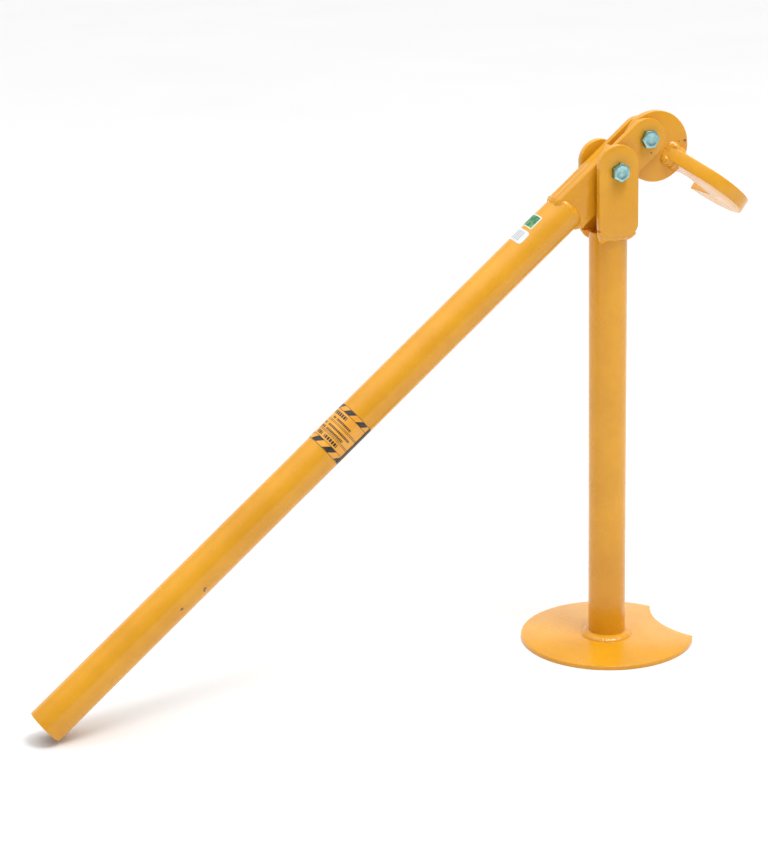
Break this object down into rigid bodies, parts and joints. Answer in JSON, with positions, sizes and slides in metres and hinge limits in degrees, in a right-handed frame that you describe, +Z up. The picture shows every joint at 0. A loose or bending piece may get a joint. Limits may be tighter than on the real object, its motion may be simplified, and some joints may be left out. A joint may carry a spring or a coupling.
{
  "type": "fence post lifter",
  "caption": "Pedestal lever tool that pulls steel fence posts: round foot, upright tube, pivoted tube handle and a swinging jaw plate.",
  "frame": {"origin": "middle of the base plate's underside, on the post's axis", "axes": "+Z up along the post, +X towards the jaw and the bite in the base, the handle lies towards -X, and the lever works in the XZ plane"},
  "size_m": [0.8872, 0.208, 0.6388],
  "materials": {
    "enamel": "gloss",
    "zinc": "satin",
    "nylon": "satin",
    "vinyl": "satin",
    "paper": "matte",
    "green_paper": "matte"
  },
  "bodies": {
    "stand": {"base_plate": "enamel", "post_tube": "enamel", "base_weld": "enamel", "ear_front": "enamel", "ear_rear": "enamel", "ear_weld_front": "enamel", "ear_weld_rear": "enamel", "pivot_bolt": "zinc", "pivot_washer": "zinc", "pivot_nut": "zinc", "pivot_lock_ring": "nylon", "pivot_spacer_front_1": "zinc", "pivot_spacer_front_2": "zinc", "pivot_spacer_rear_1": "zinc", "pivot_spacer_rear_2": "zinc"},
    "lever": {"lever_tube": "enamel", "fork_plate_front": "enamel", "fork_plate_rear": "enamel", "fork_filler": "enamel", "lever_weld_front": "enamel", "lever_weld_rear": "enamel", "lever_weld_top": "enamel", "lever_weld_bottom": "enamel", "label_band": "vinyl", "sticker_white": "paper", "sticker_green": "green_paper", "link_bolt": "zinc", "link_washer": "zinc", "link_nut": "zinc", "link_lock_ring": "nylon"},
    "hook": {"link_disc": "enamel", "jaw_plate": "enamel", "jaw_weld_front_top": "enamel", "jaw_weld_front_bottom": "enamel", "jaw_weld_rear_top": "enamel", "jaw_weld_rear_bottom": "enamel"}
  },
  "joints": [
    {"name": "lever_pivot", "type": "hinge", "parent": "stand", "child": "lever", "pos_m": [0, 0, 0.5775], "axis": [0, 1, 0], "range_deg": [0, 50]},
    {"name": "hook_pivot", "type": "hinge", "parent": "lever", "child": "hook", "pos_m": [0.04438, 0, 0.60927], "axis": [0, 1, 0], "range_deg": [-145, 0]}
  ]
}
